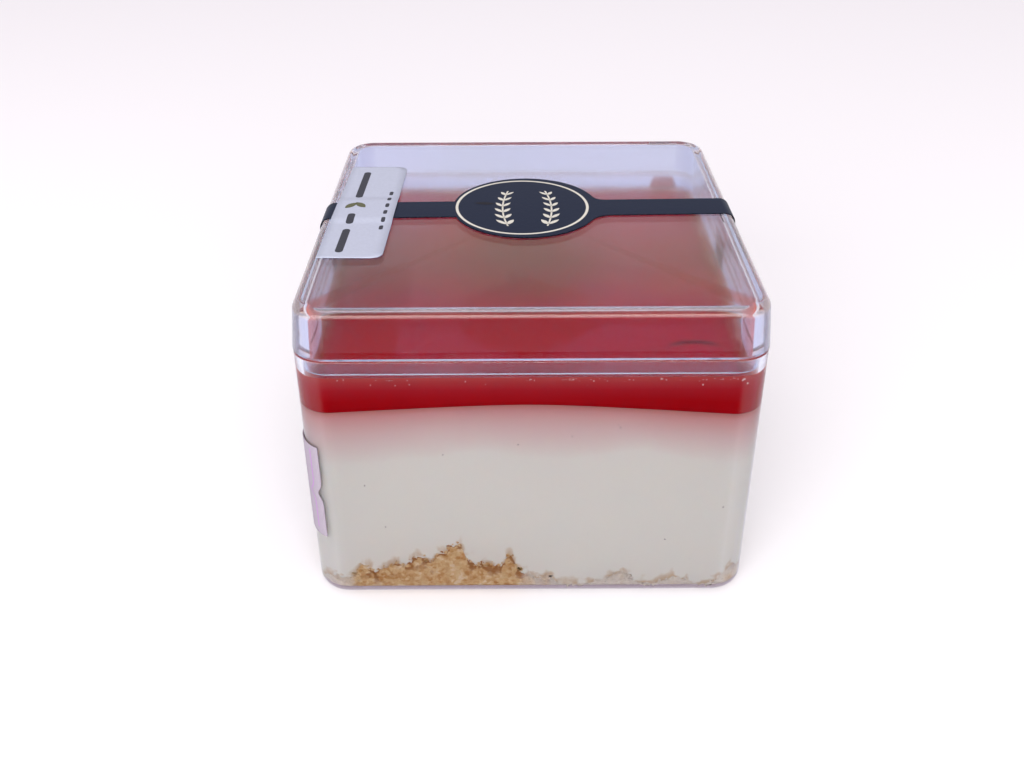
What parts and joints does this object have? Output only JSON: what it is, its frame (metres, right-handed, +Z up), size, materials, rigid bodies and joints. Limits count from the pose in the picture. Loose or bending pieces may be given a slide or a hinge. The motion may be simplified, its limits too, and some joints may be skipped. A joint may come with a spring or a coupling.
{
  "type": "boxed layer dessert",
  "caption": "Square clear plastic dessert cup with a lift-off lid, filled with biscuit crumb, cream and red strawberry jelly, closed by a paper seal.",
  "frame": {"origin": "middle of the cup's underside", "axes": "+Z up, -Y towards the front wall that the picture shows, +X to the right along the seal's band"},
  "size_m": [0.0856, 0.085, 0.0648],
  "materials": {
    "clear_plastic": "clear rigid polystyrene, gloss",
    "biscuit_crumb": "stands for dry biscuit crumb, matt and uneven",
    "cream": "stands for cream, smooth against the wall",
    "strawberry_jelly": "stands for clear deep red jelly, wet gloss",
    "navy_paper": "printed paper, satin",
    "white_paper": "white label paper, satin"
  },
  "bodies": {
    "root": {"cup": "clear_plastic", "lid": "clear_plastic", "biscuit_base": "biscuit_crumb", "cream": "cream", "jelly": "strawberry_jelly", "seal_sticker": "navy_paper", "top_label": "white_paper", "side_label": "white_paper"}
  },
  "joints": []
}
